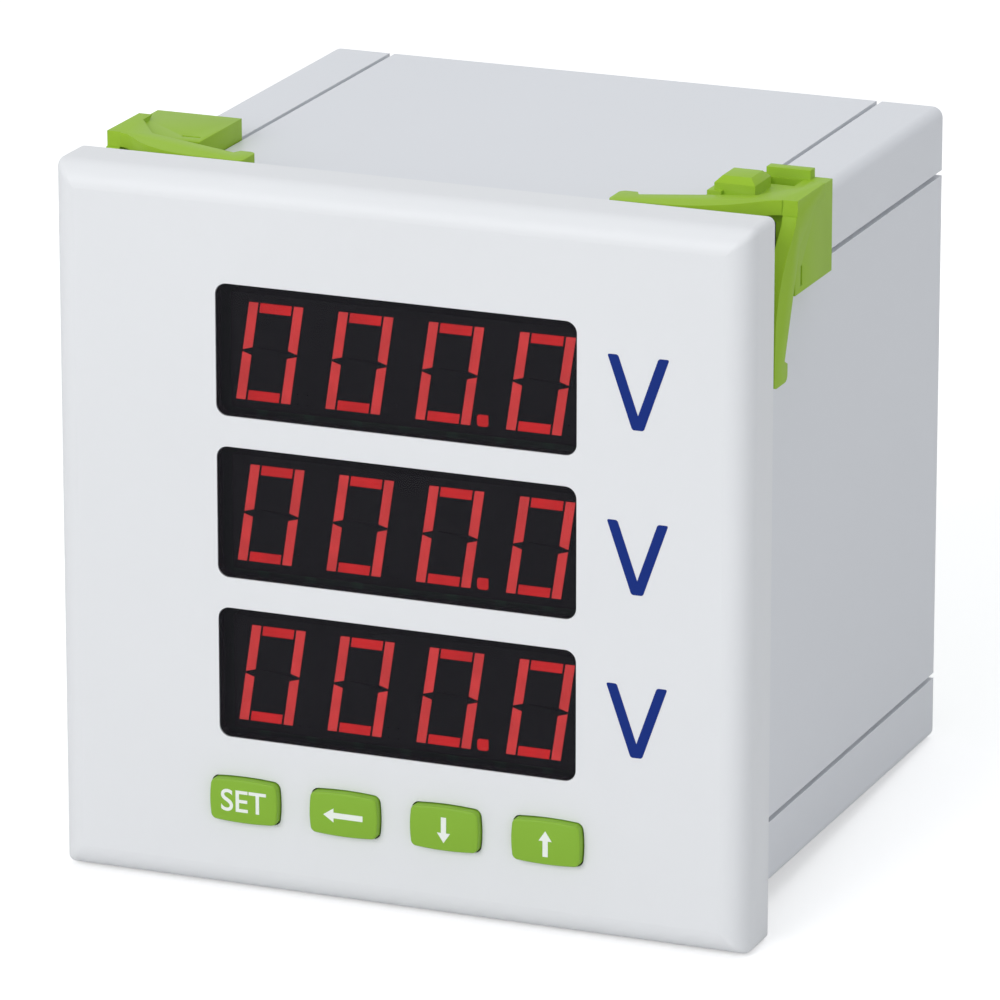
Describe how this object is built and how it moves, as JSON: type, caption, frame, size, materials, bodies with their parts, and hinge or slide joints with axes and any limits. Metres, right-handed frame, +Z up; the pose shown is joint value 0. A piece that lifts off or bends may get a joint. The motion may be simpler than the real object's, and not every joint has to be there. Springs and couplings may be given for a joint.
{
  "type": "digital panel meter",
  "caption": "Square digital panel meter: display windows above a row of keys on a white bezel, a tube case behind, sliding corner clips and pluggable rear terminals.",
  "frame": {"origin": "centre of the panel cut-out on the panel's front plane, which is the rear face of the bezel", "axes": "+X to the right seen from the front, +Y into the panel, +Z up"},
  "size_m": [0.0813, 0.0811, 0.0813],
  "materials": {
    "bezel_white": "fine satin white",
    "case_grey": "satin light grey",
    "lens_smoked": "clear smoked plastic",
    "display_black": "matt black",
    "segment_red": "cast resin",
    "board_green": "green solder mask",
    "connector_black": "moulded black",
    "chip_black": "moulded black",
    "sensor_blue": "blue potted shell",
    "core_steel": "varnished laminations",
    "coil_copper": "enamelled copper winding",
    "can_aluminium": "sleeved can",
    "key_green": "satin green",
    "clip_green": "satin yellow green",
    "terminal_green": "moulded green",
    "contact_brass": "tinned brass",
    "steel": "plated"
  },
  "bodies": {
    "meter": {"front_bezel": "bezel_white", "rear_case": "case_grey", "rear_cover": "case_grey", "cover_screws": "steel", "window_lens_top": "lens_smoked", "window_lens_middle": "lens_smoked", "window_lens_bottom": "lens_smoked", "display_housing_top": "display_black", "display_housing_middle": "display_black", "display_housing_bottom": "display_black", "display_resin_top": "segment_red", "display_resin_middle": "segment_red", "display_resin_bottom": "segment_red", "display_pins": "steel", "display_board": "board_green", "signal_board": "board_green", "power_board": "board_green", "board_connector_top": "connector_black", "board_connector_bottom": "connector_black", "controller_chip": "chip_black", "metering_chip": "chip_black", "voltage_sensor_left": "sensor_blue", "voltage_sensor_centre": "sensor_blue", "voltage_sensor_right": "sensor_blue", "transformer_core": "core_steel", "transformer_coil": "coil_copper", "filter_capacitors": "can_aluminium", "tact_switch_set": "connector_black", "tact_switch_left": "connector_black", "tact_switch_down": "connector_black", "tact_switch_up": "connector_black", "terminal_header_top": "terminal_green", "terminal_header_bottom": "terminal_green", "header_contacts_top": "contact_brass", "header_contacts_bottom": "contact_brass"},
    "set_key": {"key_set": "key_green", "switch_plunger_set": "connector_black"},
    "left_key": {"key_left": "key_green", "switch_plunger_left": "connector_black"},
    "down_key": {"key_down": "key_green", "switch_plunger_down": "connector_black"},
    "up_key": {"key_up": "key_green", "switch_plunger_up": "connector_black"},
    "right_clip": {"corner_clip_right": "clip_green"},
    "left_clip": {"corner_clip_left": "clip_green"},
    "top_plug": {"terminal_plug_top": "terminal_green", "plug_clamps_top": "contact_brass", "plug_screws_top": "steel"},
    "bottom_plug": {"terminal_plug_bottom": "terminal_green", "plug_clamps_bottom": "contact_brass", "plug_screws_bottom": "steel"}
  },
  "joints": [
    {"name": "set_key_press", "type": "slide", "parent": "meter", "child": "set_key", "axis": [0, 1, 0], "range_m": [0, 0.0005], "stiffness_N_per_m": 2000, "springref_m": -0.00025},
    {"name": "left_key_press", "type": "slide", "parent": "meter", "child": "left_key", "axis": [0, 1, 0], "range_m": [0, 0.0005], "stiffness_N_per_m": 2000, "springref_m": -0.00025},
    {"name": "down_key_press", "type": "slide", "parent": "meter", "child": "down_key", "axis": [0, 1, 0], "range_m": [0, 0.0005], "stiffness_N_per_m": 2000, "springref_m": -0.00025},
    {"name": "up_key_press", "type": "slide", "parent": "meter", "child": "up_key", "axis": [0, 1, 0], "range_m": [0, 0.0005], "stiffness_N_per_m": 2000, "springref_m": -0.00025},
    {"name": "right_clip_slide", "type": "slide", "parent": "meter", "child": "right_clip", "axis": [0, 1, 0], "range_m": [0, 0.0535]},
    {"name": "left_clip_slide", "type": "slide", "parent": "meter", "child": "left_clip", "axis": [0, 1, 0], "range_m": [0, 0.0535]},
    {"name": "top_plug_pull", "type": "slide", "parent": "meter", "child": "top_plug", "axis": [0, 1, 0], "range_m": [0, 0.012]},
    {"name": "bottom_plug_pull", "type": "slide", "parent": "meter", "child": "bottom_plug", "axis": [0, 1, 0], "range_m": [0, 0.012]}
  ]
}
